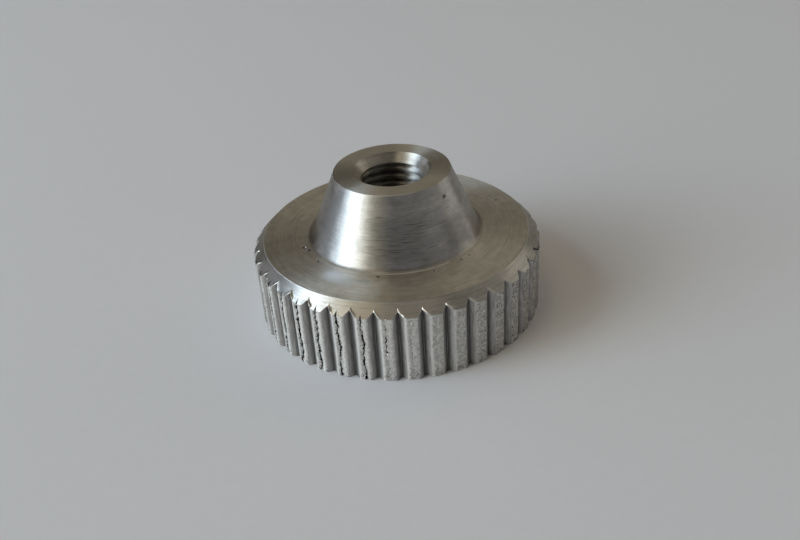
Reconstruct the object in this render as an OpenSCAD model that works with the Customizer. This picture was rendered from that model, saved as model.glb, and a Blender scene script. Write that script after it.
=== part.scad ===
// Knurled carburetor nut: one solid turned from round bar.
// A knurled disc carries a conical boss, and a tapped bore runs through both.
// The origin is on the bore's axis at the foot, and +Z points up out of the boss.

/* [Disc] */
// Diameter over the crests of the knurl
disc_d = 33; // [28:0.5:44]
// Height of the disc, from its foot to its flat upper face
disc_h = 9.2; // [6:0.1:16]
// Width of the 45 degree chamfer round the upper rim, across the face
rim_chamfer = 1.3; // [0.8:0.05:2]
// Width of the 45 degree break round the foot
foot_break = 0.25; // [0.1:0.05:0.6]

/* [Knurl] */
// Number of grooves round the rim
groove_count = 40; // [24:1:48]
// Depth of a groove below the crests
groove_depth = 0.63; // [0.3:0.01:0.75]
// Angle between the two flanks of a groove, in degrees
groove_angle = 84; // [60:1:90]
// Width of the narrow flat at the bottom of a groove
groove_root = 0.08; // [0.02:0.01:0.2]

/* [Boss] */
// Height of the boss above the disc
boss_h = 7.6; // [4:0.1:14]
// Diameter of the boss where its cone would meet the disc
boss_base_d = 19.4; // [17:0.1:24]
// Diameter of the boss's flat top
boss_top_d = 13.1; // [11:0.1:16]
// Radius of the fillet between the boss and the disc
boss_fillet = 0.6; // [0.2:0.05:1]
// Radius that takes the sharpness off the top edge of the boss
boss_edge_r = 0.12; // [0.05:0.01:0.4]

/* [Tapped bore] */
// Diameter of the bore at the crests of its M8 x 1 thread
bore_d = 6.92; // [5:0.01:8]
// Diameter of the countersink at the top of the bore
mouth_d = 8.8; // [8.2:0.1:10.5]
// Diameter of the countersink at the foot of the bore
foot_mouth_d = 8.4; // [8.2:0.1:10.5]
// Angle between opposite sides of a countersink, in degrees
mouth_angle = 90; // [60:5:120]

/* [Hidden] */

// How far a cutting tool runs past the face that it opens.
overrun = 1;
$fn = 96;

disc_r = disc_d / 2;
total_h = disc_h + boss_h;
base_r = boss_base_d / 2;
top_r = boss_top_d / 2;

// The cone leaves the disc's face at this angle, and the air beside it takes up the rest.
cone_angle = atan2(boss_h, base_r - top_r);

// Distance from a corner to where a rounding circle touches either side of it.
fillet_reach = boss_fillet / tan((180 - cone_angle) / 2);
edge_reach = boss_edge_r * tan(cone_angle / 2);

// Half section of the disc, with the chamfer above and the broken edge below.
module disc_section() {
    polygon([
        [0, 0],
        [disc_r - foot_break, 0],
        [disc_r, foot_break],
        [disc_r, disc_h - rim_chamfer],
        [disc_r - rim_chamfer, disc_h],
        [0, disc_h]
    ]);
}

// Half section of the boss with sharp corners, sunk to the foot so that it is one with the disc.
module cone_section() {
    polygon([
        [0, 0],
        [base_r, 0],
        [base_r, disc_h],
        [top_r, total_h],
        [0, total_h]
    ]);
}

// What the fillet adds in the corner between the cone and the disc's face.
module fillet_section() {
    difference() {
        polygon([
            [base_r - fillet_reach * cos(cone_angle), disc_h + fillet_reach * sin(cone_angle)],
            [base_r, disc_h - foot_break],
            [base_r + fillet_reach, disc_h - foot_break],
            [base_r + fillet_reach, disc_h]
        ]);
        translate([base_r + fillet_reach, disc_h + boss_fillet])
            circle(r = boss_fillet);
    }
}

// What the rounding takes off the boss's top edge.
module edge_section() {
    difference() {
        polygon([
            [top_r - edge_reach, total_h],
            [top_r, total_h + overrun],
            [top_r + overrun, total_h],
            [top_r + edge_reach * cos(cone_angle), total_h - edge_reach * sin(cone_angle)]
        ]);
        translate([top_r - edge_reach, total_h - boss_edge_r])
            circle(r = boss_edge_r);
    }
}

// The turned blank, before it is knurled and bored.
module blank() {
    rotate_extrude()
        difference() {
            union() {
                disc_section();
                cone_section();
                fillet_section();
            }
            edge_section();
        }
}

// One groove's outline across the rim, widening past the crests.
module groove_section() {
    root_r = disc_r - groove_depth;
    outer_r = disc_r + overrun;
    half_root = groove_root / 2;
    half_outer = half_root + (outer_r - root_r) * tan(groove_angle / 2);
    polygon([
        [root_r, -half_root],
        [outer_r, -half_outer],
        [outer_r, half_outer],
        [root_r, half_root]
    ]);
}

// All the grooves, which run straight up the rim and out through its chamfer.
// A crest lies on +X, so with an even count the rim spans the full diameter along X.
module knurl_grooves() {
    translate([0, 0, -overrun])
        linear_extrude(disc_h + 2 * overrun)
            for (i = [0:groove_count - 1])
                rotate((i + 0.5) * 360 / groove_count)
                    groove_section();
}

// Height of a countersink that opens the bore out to this diameter.
function sink_h(d) = (d - bore_d) / 2 / tan(mouth_angle / 2);

// The bore, opened out at both ends.
module bore() {
    mouth_h = sink_h(mouth_d);
    foot_h = sink_h(foot_mouth_d);
    mouth_run = overrun * tan(mouth_angle / 2);
    translate([0, 0, -overrun])
        cylinder(d = bore_d, h = total_h + 2 * overrun);
    translate([0, 0, total_h - mouth_h])
        cylinder(d1 = bore_d, d2 = mouth_d + 2 * mouth_run, h = mouth_h + overrun);
    translate([0, 0, -overrun])
        cylinder(d1 = foot_mouth_d + 2 * mouth_run, d2 = bore_d, h = foot_h + overrun);
}

module knurled_nut() {
    color("silver")
        difference() {
            blank();
            knurl_grooves();
            bore();
        }
}

knurled_nut();
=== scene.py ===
import math
import random

import bmesh
import bpy
from mathutils import Matrix, Vector, noise


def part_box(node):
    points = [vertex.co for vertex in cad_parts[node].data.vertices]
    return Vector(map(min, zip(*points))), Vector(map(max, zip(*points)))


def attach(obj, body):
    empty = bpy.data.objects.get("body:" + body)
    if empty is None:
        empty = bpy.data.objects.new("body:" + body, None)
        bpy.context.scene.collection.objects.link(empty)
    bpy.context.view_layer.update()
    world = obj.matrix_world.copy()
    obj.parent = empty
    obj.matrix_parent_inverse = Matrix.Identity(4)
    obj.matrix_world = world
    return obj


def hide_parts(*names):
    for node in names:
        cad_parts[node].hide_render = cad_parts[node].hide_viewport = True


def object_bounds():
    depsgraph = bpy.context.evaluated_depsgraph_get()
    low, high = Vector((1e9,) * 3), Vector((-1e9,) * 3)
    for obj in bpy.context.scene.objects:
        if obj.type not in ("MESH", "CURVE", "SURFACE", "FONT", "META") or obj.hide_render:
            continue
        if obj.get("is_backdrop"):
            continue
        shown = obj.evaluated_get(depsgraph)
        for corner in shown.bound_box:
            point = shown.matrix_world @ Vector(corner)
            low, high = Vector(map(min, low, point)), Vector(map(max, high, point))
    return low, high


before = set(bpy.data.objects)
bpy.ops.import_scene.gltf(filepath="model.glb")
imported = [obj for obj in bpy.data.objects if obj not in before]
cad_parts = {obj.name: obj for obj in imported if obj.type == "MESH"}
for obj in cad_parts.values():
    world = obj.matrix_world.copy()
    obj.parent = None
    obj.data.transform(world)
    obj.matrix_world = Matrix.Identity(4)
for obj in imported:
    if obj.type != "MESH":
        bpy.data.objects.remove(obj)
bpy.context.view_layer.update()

# ---- The camera ----
# A short telephoto lens stands about a hand's length from the nut and looks down over its near rim.
# It is rolled a few degrees to the left, and the turn is about the nut's own axis.
mm = 0.001
bench_turn = Matrix.Rotation(math.radians(-3.15), 4, "Z")
camera_place = Matrix.Translation(Vector((0.149, -90.655, 60.593)) * mm)
camera_pitch = Matrix.Rotation(math.radians(90 - 32.241), 4, "X")
camera_roll = Matrix.Rotation(math.radians(-3.898), 4, "Z")
camera = bpy.data.objects.new("camera", bpy.data.cameras.new("camera"))
camera.data.sensor_width = 36
camera.data.lens = 40.56
camera.data.clip_start = 5 * mm
camera.data.clip_end = 20
camera.matrix_world = bench_turn @ camera_place @ camera_pitch @ camera_roll
bpy.context.scene.collection.objects.link(camera)
bpy.context.scene.camera = camera
bpy.context.scene.view_settings.view_transform = "Standard"

# ---- The floor ----
# A wide sheet of smooth, faintly blue paper lies under the nut and fills the view.
# It is matt, and its fibre shows only as a very slight unevenness of tone.
paper_pale = (0.95, 0.945, 0.965, 1)
paper_dull = (0.92, 0.915, 0.935, 1)
paper_half = 2.5


def put(tree, kind, feeds, **settings):
    """Adds a node, sets it up, and gives each of its named inputs a value or a link."""
    made = tree.nodes.new(("" if kind.startswith("NodeGroup") else "ShaderNode") + kind)
    for name, value in settings.items():
        setattr(made, name, value)
    for socket, value in feeds.items():
        if isinstance(value, bpy.types.NodeSocket):
            tree.links.new(value, made.inputs[socket])
        else:
            made.inputs[socket].default_value = value
    return made


def blend(tree, share, first, second):
    """Mixes two colours, from all of the first at 0 to all of the second at 1."""
    mixed = put(tree, "Mix", {0: share, 6: first, 7: second}, data_type="RGBA")
    return mixed.outputs[2]


def new_finish(name):
    """A material with nothing in its node tree but the output."""
    finish = bpy.data.materials.new(name)
    finish.use_nodes = True
    finish.node_tree.nodes.clear()
    return finish


def close_finish(finish, surface):
    """Joins the surface shader to the material's output."""
    put(finish.node_tree, "OutputMaterial", {"Surface": surface.outputs[0]})
    return finish


def shape_to_object(shape, name, finishes):
    """Turns a finished bmesh into an object at the origin, with its materials in order."""
    mesh = bpy.data.meshes.new(name)
    shape.to_mesh(mesh)
    shape.free()
    for finish in finishes:
        mesh.materials.append(finish)
    made = bpy.data.objects.new(name, mesh)
    bpy.context.scene.collection.objects.link(made)
    return made


paper = new_finish("smooth pale paper")
tree = paper.node_tree
where = put(tree, "TexCoord", {})
fibre = put(tree, "TexNoise", {"Vector": where.outputs["Object"], "Scale": 900, "Detail": 3})
tint = blend(tree, fibre.outputs["Fac"], paper_dull, paper_pale)
close_finish(paper, put(tree, "BsdfPrincipled", {"Base Color": tint, "Roughness": 0.85,
                                                 "Specular IOR Level": 0.2}))

shape = bmesh.new()
bmesh.ops.create_grid(shape, x_segments=1, y_segments=1, size=paper_half)
floor = shape_to_object(shape, "floor", [paper])
floor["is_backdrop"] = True

# ---- The light ----
# A wide, low studio window stands to the left and a little behind, under a thin curtain. Each row
# of panes is brightest at its middle, cool at the far side and creamy at the near side. A pale
# wall, a skylight and a grey card on the right add a little, and the room a dim tan light.
window_distance = 1.0
window_from = 70
window_to = 160
pane_turn = 10
window_rows = [
    # from and to above the bench, the brightest turn to the left, half its width, and brightness
    (1, 12, 117, 30, 4.4),
    (12, 30, 107, 21, 6.0),
    (30, 48, 99, 20, 3.3),
]
cool_light = (0.83, 1.0, 1.2)
cream_light = (1.0, 1.0, 0.9)
cream_from = 95
cream_over = 40
wall_light = (0.58, 0.6, 0.7)
skylight = (1.3, 1.1, 0.8)
card_light = (0.33, 0.31, 0.26)


def ramp(tree, value, low, high, to_low=0.0, to_high=1.0, kind="LINEAR"):
    """Takes a value that runs from low to high and makes it run over another range."""
    spread = put(tree, "MapRange", {"Value": value, "From Min": low, "From Max": high,
                                    "To Min": to_low, "To Max": to_high}, interpolation_type=kind)
    return spread.outputs[0]


def hang_pane(near, far, low_edge, high_edge, glow):
    """Hangs one pane between two turns to the left and two heights over the bench, in degrees."""
    middle = math.radians(-(near + far) / 2)
    width = 2 * window_distance * math.tan(math.radians(far - near) / 2)
    bottom = window_distance * math.tan(math.radians(low_edge))
    height = window_distance * math.tan(math.radians(high_edge)) - bottom
    pane = bpy.data.lights.new("window pane", "AREA")
    pane.shape = "RECTANGLE"
    pane.size, pane.size_y = width, height
    pane.energy = max(glow) * math.pi * width * height
    pane.color = [part / max(glow) for part in glow]
    place = Vector((math.sin(middle) * window_distance, math.cos(middle) * window_distance,
                    bottom + height / 2))
    facing = Vector((-place.x, -place.y, 0)).to_track_quat("-Z", "Y").to_matrix().to_4x4()
    lamp = bpy.data.objects.new("window pane", pane)
    lamp.matrix_world = bench_turn @ Matrix.Translation(place) @ facing
    bpy.context.scene.collection.objects.link(lamp)


for low_edge, high_edge, heart, reach, peak in window_rows:
    for near in range(window_from, window_to, pane_turn):
        turn_left = near + pane_turn / 2
        bright = peak * math.exp(-((turn_left - heart) / reach) ** 2)
        creamy = min(1.0, max(0.0, (turn_left - cream_from) / cream_over))
        glow = [bright * (cool + creamy * (cream - cool))
                for cool, cream in zip(cool_light, cream_light)]
        hang_pane(near, near + pane_turn, low_edge, high_edge, glow)
hang_pane(50, 70, 1, 30, wall_light)
for near in range(160, 300, 35):
    hang_pane(near, near + 35, 1, 12, wall_light)
hang_pane(105, 150, 60, 76, skylight)
hang_pane(275, 310, 12, 40, card_light)

room_dark = (0.02, 0.019, 0.017, 1)
room_glow = (0.36, 0.325, 0.26, 1)
room = bpy.data.worlds.new("room")
room.use_nodes = True
tree = room.node_tree
tree.nodes.clear()
glow_from = bench_turn @ Vector((0.23, 0.41, 0.88)).normalized()
around = put(tree, "TexCoord", {})
over = put(tree, "VectorMath", {0: around.outputs["Generated"], 1: glow_from},
           operation="DOT_PRODUCT")
spread = ramp(tree, over.outputs["Value"], 0.52, 1.0, kind="SMOOTHSTEP")
haze = blend(tree, spread, room_dark, room_glow)
back = put(tree, "Background", {"Color": haze, "Strength": 1.0})
put(tree, "OutputWorld", {"Surface": back.outputs[0]})
bpy.context.scene.world = room

# ---- The rolled rim ----
# The nut is turned from one aluminium bar, and its rim is straight-knurled with a form roller.
# The roller pushes each land up from both sides, so two lips meet in a ragged seam down its
# middle, and the grooves run out through the chamfer with a thin raised lip beside them.
low, high = (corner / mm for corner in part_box("knurled_nut"))
rim_r = high.x
nut_height = high.z
disc_height = 9.2
chamfer_width = 1.3
foot_break = 0.10
grooves = 40
groove_depth = 0.63
groove_slope = math.tan(math.radians(42))
land_half = 0.69
crown_at = 0.34
run_out = 0.16
crown_dip = 0.050
land_edge_dip = 0.035
rolled_shoulder = 0.20
crisp_shoulder = 0.04
groove_start = 0.04
seam_depth = 0.30
seam_half_width = 0.115
uneven_least = 0.012
uneven_most = 0.026
lip_from = 0.58
lip_over = 0.12
half_pitch = math.pi * rim_r / grooves

# Widths from the middle of a land to each column of vertices, as far as the middle of a groove.
columns = [0, 0.045, 0.09, 0.14, 0.22, 0.34, 0.48, 0.60, 0.68, 0.74, 0.82, 0.96, 1.12, 1.24,
           half_pitch]
columns_per_tooth = 2 * (len(columns) - 1)
column_count = grooves * columns_per_tooth
wall_rows = 50
chamfer_steps = [0.06, 0.14, 0.25, 0.40]
lip_shape = [0.8, 1.0, 0.6, 0.0]
chamfer_shares = [0.25, 0.50, 0.75, 0.955, 1.0]
chamfer_rows = len(chamfer_steps) + len(chamfer_shares)
chamfer_inner = rim_r - chamfer_width


def grain(a, b, c):
    """Smooth noise between about -0.5 and 0.5, the same on each run."""
    return noise.noise(Vector((a, b, c)))


def smooth_high(a, b, blend):
    """The higher of two heights, with the corner between them rounded."""
    return (a + b + math.hypot(a - b, blend)) / 2


def smooth_low(a, b, blend):
    """The lower of two heights, with the corner between them rounded."""
    return (a + b - math.hypot(a - b, blend)) / 2


def towards(tooth, degrees):
    """1 where a tooth faces this way round the rim, falling to -1 on the far side."""
    return math.cos(2 * math.pi * tooth / grooves - math.radians(degrees))


def seam_stray(tooth, z):
    """How far the seam strays from the middle of its land at this height, in mm."""
    wander = 0.24 * grain(tooth * 7.31, z * 0.5, 0.4) + 0.20 * grain(tooth * 3.17, z * 2.3, 5.2)
    return wander + 0.10 * grain(tooth * 6.1, z * 5.3, 1.2)


def seam_open(tooth, z):
    """How far the seam is open, from 0 to 1: fully on the side where the roller bit deepest."""
    patchy = 0.9 * grain(tooth * 5.77, z * 0.9, 9.1) + 0.5 * grain(tooth * 2.3, z * 4.1, 3.3)
    return max(0.0, min(1.0, 2.3 * (towards(tooth, -158) - 0.42) + patchy))


def lip_height(tooth, side):
    """How far the metal stands up beside a groove where it leaves the chamfer, in mm."""
    if side < 0:
        height = 0.02 + 0.24 * max(0.0, towards(tooth, -98)) ** 4
    else:
        height = 0.008 + 0.07 * max(0.0, towards(tooth, -172)) ** 6
    return height * (1 + 1.2 * grain(tooth * 4.9, side * 3.3, 2.6))


shape = bmesh.new()
row_tag = shape.verts.layers.int.new("row")
# Vertex masks: painted shade (seam cracks, a burr, pit bottoms), groove depth, wear, and a painted
# shoulder highlight.
painted_shade_tag = shape.verts.layers.float.new("painted_shade")
hollow_tag = shape.verts.layers.float.new("hollow")
pitted_tag = shape.verts.layers.float.new("pitted")
glint_tag = shape.verts.layers.float.new("painted_glint")
profile_rows = 1 + wall_rows + chamfer_rows
profile = [shape.verts.new(Vector((rim_r, 0, row * 0.1)) * mm) for row in range(profile_rows)]
for row, vertex in enumerate(profile):
    vertex[row_tag] = row
strip = [shape.edges.new(pair) for pair in zip(profile, profile[1:])]
spun_about = {"cent": (0, 0, 0), "axis": (0, 0, 1), "dvec": (0, 0, 0)}
bmesh.ops.spin(shape, geom=profile + strip, angle=2 * math.pi / grooves,
               steps=columns_per_tooth, use_merge=False, **spun_about)
bmesh.ops.spin(shape, geom=shape.verts[:] + shape.edges[:] + shape.faces[:],
               angle=2 * math.pi * (grooves - 1) / grooves, steps=grooves - 1,
               use_merge=False, use_duplicate=True, **spun_about)
bmesh.ops.remove_doubles(shape, verts=shape.verts, dist=0.005 * mm)

for vertex in shape.verts:
    column = round(math.atan2(vertex.co.y, vertex.co.x) / (2 * math.pi) * column_count)
    tooth, step = divmod(column % column_count, columns_per_tooth)
    across = columns[step] if step < len(columns) else -columns[columns_per_tooth - step]
    if step >= len(columns):
        tooth = (tooth + 1) % grooves
    aside = abs(across)
    row = vertex[row_tag]
    share = min(1.0, max(0.0, (row - 1) / (wall_rows - 1)))
    share += 0.010 * math.sin(2 * math.pi * share)
    height = 0.1 + 8.0 * share

    # The land: two low crowns with the seam between them, and the groove's flank outside.
    stray = seam_stray(tooth, height) * max(0.0, 1 - aside / 0.60)
    seam_half = seam_half_width + 0.13 * grain(tooth * 1.9, height * 3.7, 7.7)
    opened = seam_open(tooth, height)
    cleft = opened * max(0.0, 1 - aside / seam_half)
    ragged = opened * max(0.0, 1 - abs(aside - 0.19) / 0.12)
    if aside < crown_at:
        land = crown_dip * ((crown_at - aside) / crown_at) ** 2
    else:
        land = land_edge_dip * ((aside - crown_at) / (land_half - crown_at)) ** 2
    flank = (aside - land_half) / groove_slope * (1 - run_out * max(0.0, share * 5 - 4) ** 2)
    shoulder = rolled_shoulder if across < 0 else crisp_shoulder
    depth = smooth_low(smooth_high(land, flank, shoulder), groove_depth, crisp_shoulder)
    hollow = min(1.0, max(0.0, (depth - groove_start) / (groove_depth - groove_start)))
    angle = (tooth * 2 * half_pitch + across + stray) / rim_r
    east, north = math.cos(angle) * rim_r, math.sin(angle) * rim_r
    lump = grain(east * 2.1, north * 2.1, height * 2.1) + 0.5 * grain(east * 5, north * 5, height * 5)
    crumble = max(0.0, 1 - height / (1.1 + 1.6 * max(0.0, towards(tooth, -30))))
    marked = max(crumble, 0.8 * ragged, 1.1 * towards(tooth, -8) - 0.12)
    depth += (uneven_least + uneven_most * marked) * (1 - 0.8 * hollow) * (lump + 0.35)
    depth += seam_depth * cleft
    depth -= 0.035 * ragged * (0.5 + grain(east * 7, north * 7, height * 7))
    radius = min(rim_r, rim_r - depth)
    foot_z = max(0.0, radius - (rim_r - foot_break)) + 0.06 * max(0.0, lump) * (1 - hollow)
    top_z = disc_height - (radius - chamfer_inner)
    if row == 0:
        radius, z = min(radius, rim_r - foot_break), 0.0
    elif row <= wall_rows:
        z = foot_z + share * (top_z - foot_z)
    else:
        # The chamfer, from the groove's edge in to the flat face.
        length = (radius - chamfer_inner) * math.sqrt(2)
        index = row - wall_rows - 1
        if index < len(chamfer_steps):
            along = chamfer_steps[index]
            beside = min(1.0, max(0.0, (aside - lip_from) / lip_over))
            beside *= 0.5 + 1.9 * hollow * (1 - hollow)
            lift = lip_shape[index] * beside * lip_height(tooth, across)
        else:
            rest = chamfer_shares[index - len(chamfer_steps)]
            along = chamfer_steps[-1] + rest * (length - chamfer_steps[-1])
            lift = 0.0
        radius = min(rim_r, radius + (lift - along) / math.sqrt(2))
        z = top_z + (lift + along) / math.sqrt(2)
        cleft *= max(0.0, 1 - along / 0.2)
        opened *= max(0.0, 1 - along / 0.2)
        hollow = 0.0
    vertex.co = Vector((radius * math.cos(angle), radius * math.sin(angle), z)) * mm
    # The burr where the chamfer meets the teeth facing right is painted dark: a painted dark
    # reflection.
    burr = max(0.0, 1 - abs(row - wall_rows) / 2.5) * max(0.0, 30 * towards(tooth, -20) - 29.3)
    # This mask paints shade: the open seam's crack and its ragged edge go dark as painted shade, and
    # the burr above is added to it.
    vertex[painted_shade_tag] = min(1.0, max(1.6 * cleft, burr,
                                    0.45 * opened * max(0.0, 1 - aside / 0.45)))
    vertex[hollow_tag] = hollow
    vertex[pitted_tag] = max(0.0, min(1.0, marked))
    # Painted highlight: a stripe on a shoulder, only on the teeth that face the window.
    left_side = max(0.0, min(1.0, 1.6 * towards(tooth, -140) - 0.1))
    right_side = max(0.0, min(1.0, 2.5 * towards(tooth, -150) - 1.0))
    vertex[glint_tag] = max(left_side * max(0.0, 1 - abs(across + 0.56) / 0.22),
                             right_side * max(0.0, 1 - abs(across - 0.36) / 0.26))
    # Lips standing high on the chamfer get the edge finish, partly a painted highlight.
    if row > wall_rows:
        vertex[glint_tag] = 1.0 if lift > 0.03 else 0.0

rolled, turned, faced, chamfered, tapped, edged = range(6)
for face in shape.faces:
    rows = [vertex[row_tag] for vertex in face.verts]
    face.material_index = chamfered if min(rows) >= wall_rows or max(rows) <= 1 else rolled
    # Chamfer lips and the chamfer's inner edge take the edge finish, partly wear and partly a painted
    # highlight.
    lip = min(rows) >= wall_rows and min(vertex[glint_tag] for vertex in face.verts) > 0.9
    if lip or min(rows) >= profile_rows - 2:
        face.material_index = edged
bmesh.ops.remove_doubles(shape, verts=shape.verts, dist=0.0005 * mm)
worked = []


def set_aside(shape):
    """Keeps one worked part of the nut until all of them are joined."""
    mesh = bpy.data.meshes.new("worked part")
    shape.to_mesh(mesh)
    shape.free()
    worked.append(mesh)


set_aside(shape)

# ---- The turned boss ----
# The cone is turned in the same setting, with a small fillet where it leaves the disc's flat face.
# Its top edge has the sharpness taken off.
boss_base_r = 9.7
boss_top_r = 6.55
fillet_r = 0.6
edge_r = 0.10
boss_steps = 240
cone_angle = math.atan2(nut_height - disc_height, boss_base_r - boss_top_r)
fillet_reach = fillet_r / math.tan((math.pi - cone_angle) / 2)
edge_reach = edge_r * math.tan(cone_angle / 2)


def on_ring(edge, radius, z):
    """True for an edge that lies on this circle, in mm."""
    return all(abs(v.co.z - z * mm) < 0.004 * mm and
               abs(v.co.xy.length - radius * mm) < 0.004 * mm for v in edge.verts)


shape = bmesh.new()
line = [shape.verts.new(Vector((radius, 0, z)) * mm) for radius, z in (
    (boss_base_r + fillet_reach + 0.02, disc_height),
    (boss_base_r, disc_height),
    (boss_top_r, nut_height),
    (boss_top_r - edge_reach - 0.01, nut_height),
)]
edges = [shape.edges.new(pair) for pair in zip(line, line[1:])]
bmesh.ops.spin(shape, geom=line + edges, angle=2 * math.pi, steps=boss_steps, use_merge=True,
               **spun_about)
for radius, z, reach, segments in ((boss_base_r, disc_height, fillet_reach, 10),
                                   (boss_top_r, nut_height, edge_reach, 4)):
    corner = [edge for edge in shape.edges if on_ring(edge, radius, z)]
    rounded = bmesh.ops.bevel(shape, geom=corner, offset=reach * mm, offset_type="OFFSET",
                              affect="EDGES", segments=segments, profile=0.5, material=-1,
                              clamp_overlap=False)["faces"]
    for face in rounded:
        middle = face.calc_center_median() / mm
        # Only the front of the fillet and of the top edge takes the edge finish: a painted highlight
        # line, partly wear from rubbing.
        level = abs(middle.z - disc_height) < 0.05 or middle.z > nut_height - 0.3
        front = abs(math.degrees(math.atan2(middle.y, middle.x)) + 104) < (44 if radius > 8 else 34)
        face.material_index = edged if level and front else turned
for face in shape.faces:
    if face.material_index != edged:
        face.material_index = turned
set_aside(shape)

# ---- The tapped bore ----
# The bore is drilled through, tapped M8 x 1 right-hand, and countersunk at both ends with a
# 90 degree tool. The thread runs out in the countersinks, where it only scratches their walls.
minor_r = 3.46
major_r = 4.0
pitch = 1.0
mouth_r = 4.4
foot_mouth_r = 4.2
thread_steps = 96
thread_start = 0.85
run_in = 0.45
scratch = 0.05
thread_section = [(-0.125, minor_r), (0.0, minor_r), (0.125, minor_r), (0.203, 3.595),
                  (0.281, 3.73), (0.359, 3.865), (0.4375, major_r), (0.5625, major_r),
                  (0.641, 3.865), (0.719, 3.73), (0.797, 3.595)]
shape = bmesh.new()
line = [shape.verts.new(Vector((radius, 0, turn * pitch + thread_start + z)) * mm)
        for turn in range(-2, math.ceil(nut_height / pitch) + 1) for z, radius in thread_section]
edges = [shape.edges.new(pair) for pair in zip(line, line[1:])]
spun_about["dvec"] = (0, 0, pitch * mm / thread_steps)
bmesh.ops.spin(shape, geom=line + edges, angle=2 * math.pi, steps=thread_steps, use_merge=False,
               **spun_about)
bmesh.ops.remove_doubles(shape, verts=shape.verts, dist=0.002 * mm)
for plane_z, up in ((nut_height, 1), (0, -1)):
    bmesh.ops.bisect_plane(shape, geom=shape.verts[:] + shape.edges[:] + shape.faces[:],
                           dist=0.0002 * mm, clear_outer=True,
                           plane_co=(0, 0, plane_z * mm), plane_no=(0, 0, up))
for vertex in shape.verts:
    z = vertex.co.z / mm
    radius = vertex.co.xy.length / mm
    cut = (radius - minor_r) / (major_r - minor_r)
    # How far this height is inside the plain bore, counted from the nearer countersink.
    inside = min(nut_height - z - (mouth_r - minor_r), z - (foot_mouth_r - minor_r))
    ease = min(1.0, max(0.0, inside / run_in))
    threaded = minor_r + (major_r - minor_r) * cut * ease * ease * (3 - 2 * ease)
    sunk = max(mouth_r - (nut_height - z), foot_mouth_r - z)
    sunk += scratch * cut * min(1.0, max(0.0, 2 * (mouth_r - sunk)))
    vertex.co.xy *= max(threaded, sunk) / radius
for face in shape.faces:
    z = face.calc_center_median().z / mm
    plain = foot_mouth_r - minor_r < z < nut_height - (mouth_r - minor_r)
    face.material_index = tapped if plain else chamfered
set_aside(shape)

# ---- The flat faces ----
# The disc's upper face, the boss's top and the foot are faced off flat, each as one ring between
# the edges that are there by now. A few small pits and dents are left in the disc's upper face.
pits = [
    # distance from the axis and angle round it, width and depth
    (10.90, -166.6, 0.46, 0.2), (10.52, -162.5, 0.60, 0.26), (10.70, -148.0, 0.42, 0.18),
    (10.47, -105.5, 0.40, 0.16), (10.40, -71.9, 0.40, 0.16), (13.28, 19.6, 0.34, 0.12),
    (10.48, -45.3, 0.24, 0.10), (10.36, -51.9, 0.30, 0.12), (12.60, 120.0, 0.24, 0.08),
    (14.10, -158.0, 0.18, 0.06),
]
shape = bmesh.new()
for mesh in worked:
    shape.from_mesh(mesh)
    bpy.data.meshes.remove(mesh)
painted_shade_tag = shape.verts.layers.float["painted_shade"]
random.seed(8)
pit_rims = []
for distance, degrees, width, deep in pits:
    place = Vector((math.cos(math.radians(degrees)), math.sin(math.radians(degrees)), 0)) * distance
    place.z = disc_height
    made = bmesh.ops.create_circle(shape, segments=10, radius=width / 2 * mm,
                                   matrix=Matrix.Translation(place * mm))["verts"]
    for vertex in made:
        vertex.co.xy = place.xy * mm + (vertex.co.xy - place.xy * mm) * random.uniform(0.7, 1.2)
    rim = list({edge for vertex in made for edge in vertex.link_edges})
    pit_rims.append((rim, place * mm, deep * mm))

for z in (disc_height, nut_height, 0.0):
    rims = [edge for edge in shape.edges if len(edge.link_faces) < 2 and
            all(abs(v.co.z - z * mm) < 0.002 * mm for v in edge.verts)]
    filled = bmesh.ops.triangle_fill(shape, edges=rims, use_beauty=True, normal=(0, 0, 1))
    for item in filled["geom"]:
        if isinstance(item, bmesh.types.BMFace):
            item.material_index = faced
    for edge in rims:
        edge.smooth = False
for rim, centre, deep in pit_rims:
    sunk = bmesh.ops.extrude_edge_only(shape, edges=rim)["geom"]
    bottom = [item for item in sunk if isinstance(item, bmesh.types.BMVert)]
    for vertex in bottom:
        vertex.co = centre + (vertex.co - centre) * 0.6 - Vector((0, 0, deep))
        # The pit bottoms are painted near black: painted shade in the pits.
        vertex[painted_shade_tag] = 1.0
    for item in sunk:
        if isinstance(item, bmesh.types.BMFace):
            item.material_index = faced
    cap = bmesh.ops.contextual_create(shape, geom=bottom)["faces"]
    cap[0].material_index = faced
bmesh.ops.recalc_face_normals(shape, faces=shape.faces)
for face in shape.faces:
    face.smooth = True
for edge in shape.edges:
    if edge.smooth and edge.calc_face_angle(0) > math.radians(28):
        edge.smooth = False

# ---- The finishes ----
# Bare aluminium throughout. A turned face is brushed in rings round the axis, the rolled lands are
# duller and mottled, with painted shade in the seam cracks and pits, painted shade and some grime
# in the groove roots, and the thread is dark between its crests, partly as painted shade of the
# bore. Painted highlights sit on some edges, tooth shoulders and patches.
scratch_dark = (0.16, 0.155, 0.14, 1)
# The near-black tone below is painted shade for the seam cracks, the pit bottoms and a burr's dark
# reflection.
painted_shade_dark = (0.03, 0.025, 0.02, 1)
ring_relief = 3e-6


def new_group(name, inputs, outputs):
    """A node group with named number inputs and outputs."""
    group = bpy.data.node_groups.new(name, "ShaderNodeTree")
    for label, value in inputs.items():
        socket = group.interface.new_socket(name=label, in_out="INPUT", socket_type="NodeSocketFloat")
        socket.default_value = value
    for label in outputs:
        group.interface.new_socket(name=label, in_out="OUTPUT", socket_type="NodeSocketFloat")
    return group


def reckon(tree, operation, *terms):
    """Works out one number from others over the surface."""
    return put(tree, "Math", dict(enumerate(terms)), operation=operation).outputs[0]


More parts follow.
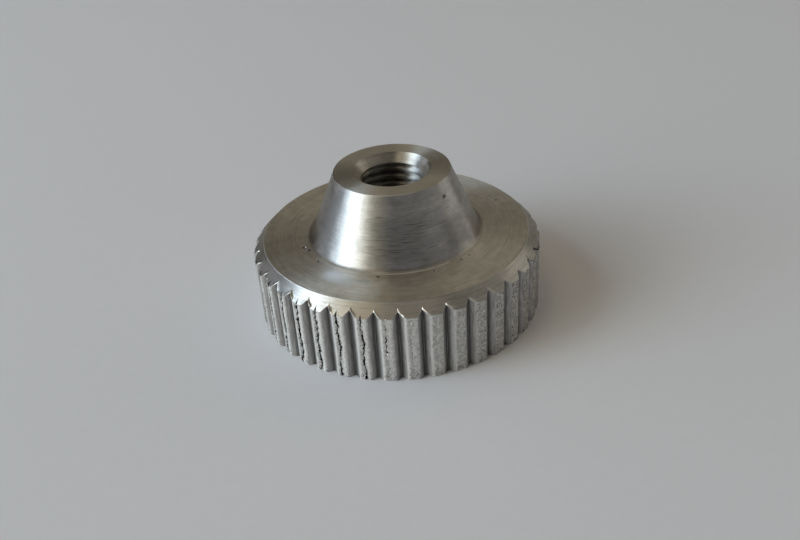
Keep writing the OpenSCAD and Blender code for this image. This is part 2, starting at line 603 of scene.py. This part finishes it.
def reckon_arrow(tree, operation, *terms):
    """Works out an arrow from others, or the number that a length or a dot product gives."""
    made = put(tree, "VectorMath", dict(enumerate(terms)), operation=operation)
    return made.outputs["Value" if operation in ("LENGTH", "DOT_PRODUCT") else "Vector"]


def stretch(tree, arrow, factor):
    """Lengthens an arrow by a number."""
    return put(tree, "VectorMath", {0: arrow, "Scale": factor}, operation="SCALE").outputs[0]


rings = new_group("lathe rings", {"Ring width": 0.0001, "Wander": 1.0}, ["Fine", "Broad"])
given = put(rings, "NodeGroupInput", {})
where = put(rings, "TexCoord", {})
apart = put(rings, "SeparateXYZ", {0: where.outputs["Object"]})
flat = reckon_arrow(rings, "MULTIPLY", where.outputs["Object"], (1, 1, 0))
out_by = reckon_arrow(rings, "LENGTH", flat)
heading = reckon_arrow(rings, "NORMALIZE", flat)
turn = stretch(rings, heading, given.outputs["Wander"])
turn_apart = put(rings, "SeparateXYZ", {0: turn})
found = []
for wider in (1.0, 7.0):
    width = reckon(rings, "MULTIPLY", given.outputs["Ring width"], wider)
    r_steps = reckon(rings, "DIVIDE", out_by, width)
    z_steps = reckon(rings, "DIVIDE", apart.outputs["Z"], width)
    place = put(rings, "CombineXYZ", {0: turn_apart.outputs[0], 1: turn_apart.outputs[1],
                                      2: r_steps})
    found.append(put(rings, "TexNoise", {"Vector": place.outputs[0], "W": z_steps,
                                         "Scale": 1.0, "Detail": 3.0, "Roughness": 0.6},
                     noise_dimensions="4D"))
put(rings, "NodeGroupOutput", {"Fine": found[0].outputs["Fac"], "Broad": found[1].outputs["Fac"]})

specks = new_group("specks and grime", {"Size": 0.0002, "Sharpness": 0.6}, ["Mottle", "Specks"])
given = put(specks, "NodeGroupInput", {})
where = put(specks, "TexCoord", {})
scale = reckon(specks, "DIVIDE", 1.0, given.outputs["Size"])
mottle = put(specks, "TexNoise", {"Vector": where.outputs["Object"], "Scale": scale,
                                  "Detail": 4.0, "Roughness": 0.65})
dots = put(specks, "TexNoise", {"Vector": where.outputs["Object"], "Scale": scale,
                                "Detail": 1.0, "Lacunarity": 2.6})
full = reckon(specks, "ADD", given.outputs["Sharpness"], 0.06)
dark = ramp(specks, dots.outputs["Fac"], given.outputs["Sharpness"], full)
put(specks, "NodeGroupOutput", {"Mottle": mottle.outputs["Fac"], "Specks": dark})

# A patch mask, used for wear and for painted highlights and reflections.
wear_and_light_patch = new_group("patch of wear and painted light", {"Place X": 0.0, "Place Y": 0.0, "Place Z": 0.0, "Wide": 0.001,
                                  "Tall": 0.001, "Fray": 0.7}, ["Share"])
given = put(wear_and_light_patch, "NodeGroupInput", {})
where = put(wear_and_light_patch, "TexCoord", {})
place = put(wear_and_light_patch, "CombineXYZ", {0: given.outputs["Place X"], 1: given.outputs["Place Y"],
                                 2: given.outputs["Place Z"]})
apart = reckon_arrow(wear_and_light_patch, "SUBTRACT", where.outputs["Object"], place.outputs[0])
around = reckon_arrow(wear_and_light_patch, "CROSS_PRODUCT", (0, 0, 1), place.outputs[0])
around = reckon_arrow(wear_and_light_patch, "NORMALIZE", around)
along = reckon_arrow(wear_and_light_patch, "DOT_PRODUCT", apart, around)
upright = reckon_arrow(wear_and_light_patch, "SUBTRACT", apart, stretch(wear_and_light_patch, around, along))
rise = reckon(wear_and_light_patch, "DIVIDE", reckon_arrow(wear_and_light_patch, "LENGTH", upright), given.outputs["Tall"])
run = reckon(wear_and_light_patch, "DIVIDE", reckon(wear_and_light_patch, "ABSOLUTE", along), given.outputs["Wide"])
reach = reckon(wear_and_light_patch, "MAXIMUM", run, rise)
drawn = reckon_arrow(wear_and_light_patch, "MULTIPLY", where.outputs["Object"], (700, 700, 6000))
fray = put(wear_and_light_patch, "TexNoise", {"Vector": drawn, "Scale": 1.0, "Detail": 3})
fray = reckon(wear_and_light_patch, "ADD", fray.outputs["Fac"], -0.5)
reach = reckon(wear_and_light_patch, "MULTIPLY_ADD", fray, given.outputs["Fray"], reach)
share = ramp(wear_and_light_patch, reach, 0.60, 1.30, 0.85, 0.0, kind="SMOOTHSTEP")
put(wear_and_light_patch, "NodeGroupOutput", {"Share": share})


def use_group(tree, group, **values):
    """Places a node group in a material, with that material's own values."""
    placed = tree.nodes.new("ShaderNodeGroup")
    placed.node_tree = group
    for label, value in values.items():
        placed.inputs[label.replace("_", " ")].default_value = value
    return placed


def lathe_finish(name, ring_width, dull, bright, rough, scratched, patches):
    """Bare turned aluminium, brushed in rings round the axis and scratched, with patches of wear, of
    painted highlight and of painted reflection.
    """
    finish = new_finish(name)
    tree = finish.node_tree
    marks = use_group(tree, rings, Ring_width=ring_width, Wander=1.6)
    short = use_group(tree, rings, Ring_width=0.00006, Wander=5.0)
    cloud = use_group(tree, specks, Size=0.0011, Sharpness=0.6)
    painted_shade = put(tree, "Attribute", {}, attribute_name="painted_shade")
    shade = reckon(tree, "ADD", marks.outputs["Broad"], marks.outputs["Fine"])
    shade = reckon(tree, "MULTIPLY_ADD", cloud.outputs["Mottle"], 1.2, shade)
    tone = blend(tree, ramp(tree, shade, 1.25, 1.95), dull, bright)
    roughness = ramp(tree, marks.outputs["Broad"], 0.35, 0.65, rough, rough + 0.07)
    for turned_by, out_by, up_by, wide, tall, fray, rougher, scored, patch_tone in patches:
        # Each patch's share: wear on some patches, painted highlights and reflections on others.
        marked = use_group(tree, wear_and_light_patch, Place_X=math.cos(math.radians(turned_by)) * out_by * mm,
                         Place_Y=math.sin(math.radians(turned_by)) * out_by * mm,
                         Place_Z=up_by * mm, Wide=wide * mm, Tall=tall * mm, Fray=fray)
        tone = blend(tree, marked.outputs[0], tone, patch_tone)
        patch_rings = reckon(tree, "MULTIPLY", marked.outputs[0], marks.outputs["Broad"])
        roughness = reckon(tree, "MULTIPLY_ADD", patch_rings, rougher, roughness)
        scratched = reckon(tree, "MULTIPLY_ADD", marked.outputs[0], scored, scratched)
    scratch_share = ramp(tree, short.outputs["Fine"], 0.53, 0.61, to_high=scratched)
    tone = blend(tree, scratch_share, tone, scratch_dark)
    # Painted shade: the seam cracks, the pit bottoms and a burr go near black.
    tone = blend(tree, painted_shade.outputs["Fac"], tone, painted_shade_dark)
    relief = put(tree, "Bump", {"Height": marks.outputs["Fine"], "Strength": 1.0,
                                "Distance": ring_relief})
    round_axis = put(tree, "Tangent", {}, direction_type="RADIAL", axis="Z")
    return close_finish(finish, put(tree, "BsdfPrincipled", {
        "Base Color": tone, "Metallic": 1.0, "Roughness": roughness,
        "Anisotropic": 0.97, "Anisotropic Rotation": 0.25, "Tangent": round_axis.outputs[0],
        "Normal": relief.outputs[0]}))


# Each patch: its angle, distance from the axis and height, half its width and height, how
# frayed its edge is, how much rougher and how much more scratched it is, and its tone. Some are
# wear; those noted below are painted highlights and painted reflections.
turned_finish = lathe_finish("turned aluminium", 0.00009, (0.44, 0.425, 0.39, 1),
                             (0.68, 0.655, 0.61, 1), 0.34, 0.2, [
    # A darker patch on the cone's right side: a painted dark reflection, with more scratches.
    (-44, 8.7, 11.6, 1.9, 1.8, 0.7, 0.0, 0.3, (0.36, 0.345, 0.315, 1)),
    (-43.9, 7.15, 15.36, 0.28, 0.20, 2.5, 0.0, 0.0, (0.10, 0.09, 0.08, 1)),
    (-156, 8.3, 13.0, 1.3, 3.6, 3.0, 0.5, 0.0, (0.56, 0.55, 0.53, 1)),
    (-92, 8.2, 12.4, 2.9, 2.4, 1.5, 0.0, 0.75, (0.44, 0.425, 0.39, 1)),
])
faced_finish = lathe_finish("faced aluminium", 0.00014, (0.55, 0.53, 0.485, 1),
                            (0.78, 0.755, 0.70, 1), 0.31, 0.25, [
    # A rougher scuff on the disc's face, its lighter tone a painted highlight of the window's streak.
    (-108, 13.2, 9.2, 1.5, 2.2, 1.2, 0.60, 0.0, (0.80, 0.80, 0.78, 1)),
    # A rougher scuff on the disc's face, its cool grey-blue tone a painted reflection.
    (-124, 11.8, 9.2, 2.4, 1.0, 2.5, 0.22, 0.0, (0.56, 0.575, 0.575, 1)),
    (0, 0.0, 16.8, 1.0, 8.0, 0.2, 0.0, 0.0, (0.58, 0.56, 0.51, 1)),
])
chamfered_finish = lathe_finish("chamfered aluminium", 0.00009, (0.54, 0.52, 0.465, 1),
                                (0.74, 0.71, 0.65, 1), 0.36, 0.35, [
    # A cream patch along the front of the chamfer: a painted highlight, a little rougher and less
    # scratched.
    (-98, 15.9, 8.5, 5.8, 1.6, 0.7, 0.16, -0.2, (0.95, 0.88, 0.76, 1)),
    (-151, 15.9, 8.5, 3.7, 1.6, 1.2, 0.0, 0.0, (0.43, 0.41, 0.375, 1)),
])
# The tapped bore's dark tones are partly its cut finish and partly painted shade of the bore's inside.
tapped_finish = lathe_finish("tapped aluminium", 0.00009, (0.24, 0.23, 0.21, 1),
                             (0.52, 0.50, 0.46, 1), 0.38, 0.5, [
    # A bright patch on the bore's far wall: a painted highlight of the window.
    (30, 3.7, 14.5, 1.4, 2.5, 1.5, 0.1, -0.2, (0.86, 0.85, 0.81, 1)),
])

# The edge finish is lighter than the turned metal: partly wear from rubbing, partly a painted
# highlight.
edge_dull = (0.42, 0.41, 0.37, 1)
edge_bright = (0.84, 0.82, 0.77, 1)
edged_finish = new_finish("edge wear and painted highlight")
tree = edged_finish.node_tree
marks = use_group(tree, rings, Ring_width=0.0001, Wander=9.0)
tone = blend(tree, marks.outputs["Fine"], edge_dull, edge_bright)
close_finish(edged_finish, put(tree, "BsdfPrincipled", {
    "Base Color": tone, "Metallic": 1.0, "Roughness": 0.45}))

bare_dull = (0.48, 0.47, 0.435, 1)
bare_bright = (0.74, 0.72, 0.68, 1)
worn_dull = (0.34, 0.325, 0.30, 1)
worn_bright = (0.66, 0.64, 0.60, 1)
flank_dull = (0.33, 0.32, 0.305, 1)
flank_bright = (0.56, 0.545, 0.52, 1)
# The near-white tone below is a painted highlight on the shoulders of the teeth that face the window.
shoulder_glint_bright = (0.97, 0.955, 0.92, 1)
# The root tone below is painted shade of the deep grooves, partly grime.
root_shade_and_grime = (0.06, 0.056, 0.055, 1)
speck_dark = (0.07, 0.067, 0.065, 1)
# The bright fleck tone below is a painted glint; the seam black is painted shade in the seam cracks.
glint_bright = (0.97, 0.96, 0.94, 1)
seam_black = (0.012, 0.011, 0.011, 1)
land_relief = 1e-4
rolled_finish = new_finish("rolled aluminium")
tree = rolled_finish.node_tree
fine = use_group(tree, specks, Size=0.0002, Sharpness=0.58)
coarse = use_group(tree, specks, Size=0.00035, Sharpness=0.60)
glint_specks = use_group(tree, specks, Size=0.00021, Sharpness=0.54)
painted_shade, hollow, pitted, painted_glint = (
    put(tree, "Attribute", {}, attribute_name=label).outputs["Fac"]
    for label in ("painted_shade", "hollow", "pitted", "painted_glint"))
where = put(tree, "TexCoord", {})
# The lands are blotched, and the flanks are drawn out in upright lines.
drawn = reckon_arrow(tree, "MULTIPLY", where.outputs["Object"], (9000, 9000, 700))
streak = put(tree, "TexNoise", {"Vector": drawn, "Scale": 1.0, "Detail": 3.0, "Roughness": 0.6})
blotch = ramp(tree, coarse.outputs["Mottle"], 0.35, 0.65)
bare_tone = blend(tree, blotch, bare_dull, bare_bright)
worn_tone = blend(tree, blotch, worn_dull, worn_bright)
tone = blend(tree, pitted, bare_tone, worn_tone)
lines = ramp(tree, streak.outputs["Fac"], 0.35, 0.65)
flank_tone = blend(tree, lines, flank_dull, flank_bright)
tone = blend(tree, ramp(tree, hollow, 0.0, 0.10), tone, flank_tone)
# Painted highlight: near-white stripes on the shoulders of the teeth that face the window.
tone = blend(tree, painted_glint, tone, shoulder_glint_bright)
# The grooves darken towards the root, as painted shade of the deep groove and partly grime,
# with a lighter line at the very bottom.
root_shade_share = reckon(tree, "ADD", ramp(tree, hollow, 0.35, 0.95, to_high=0.85),
                    ramp(tree, hollow, 0.95, 1.0, to_high=-0.5))
tone = blend(tree, root_shade_share, tone, root_shade_and_grime)
# Dark specks sit where the lands are worn, and hardly on the flanks.
speck_share = reckon(tree, "MULTIPLY", fine.outputs["Specks"], ramp(tree, pitted, 0.0, 1.0, 0.12, 0.9))
speck_share = reckon(tree, "MULTIPLY", speck_share, ramp(tree, hollow, 0.0, 0.10, 1.0, 0.15))
tone = blend(tree, speck_share, tone, speck_dark)
# Painted glints follow the seams, and the seam cracks with their ragged edges are painted black as
# shade.
glint_share = reckon(tree, "MULTIPLY", glint_specks.outputs["Specks"], ramp(tree, painted_shade, 0.05, 0.25))
tone = blend(tree, glint_share, tone, glint_bright)
ragged = reckon(tree, "ADD", fine.outputs["Mottle"], -0.5)
seam_shade = reckon(tree, "MULTIPLY_ADD", ragged, 1.5, painted_shade)
tone = blend(tree, ramp(tree, seam_shade, 0.36, 0.46), tone, seam_black)
bumps = reckon(tree, "MULTIPLY_ADD", pitted, 0.75, 0.25)
uneven = reckon(tree, "MULTIPLY", fine.outputs["Mottle"], bumps)
relief = put(tree, "Bump", {"Height": uneven, "Strength": 1.0, "Distance": land_relief})
close_finish(rolled_finish, put(tree, "BsdfPrincipled", {
    "Base Color": tone, "Metallic": 1.0, "Roughness": 0.55, "Normal": relief.outputs[0]}))

nut = shape_to_object(shape, "carburetor_nut", [rolled_finish, turned_finish, faced_finish,
                                                chamfered_finish, tapped_finish, edged_finish])
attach(nut, "root")
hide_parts("knurled_nut")

# ---- Its size ----
# The box of the finished nut, which stays inside the box of the CAD solid.
low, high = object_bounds()
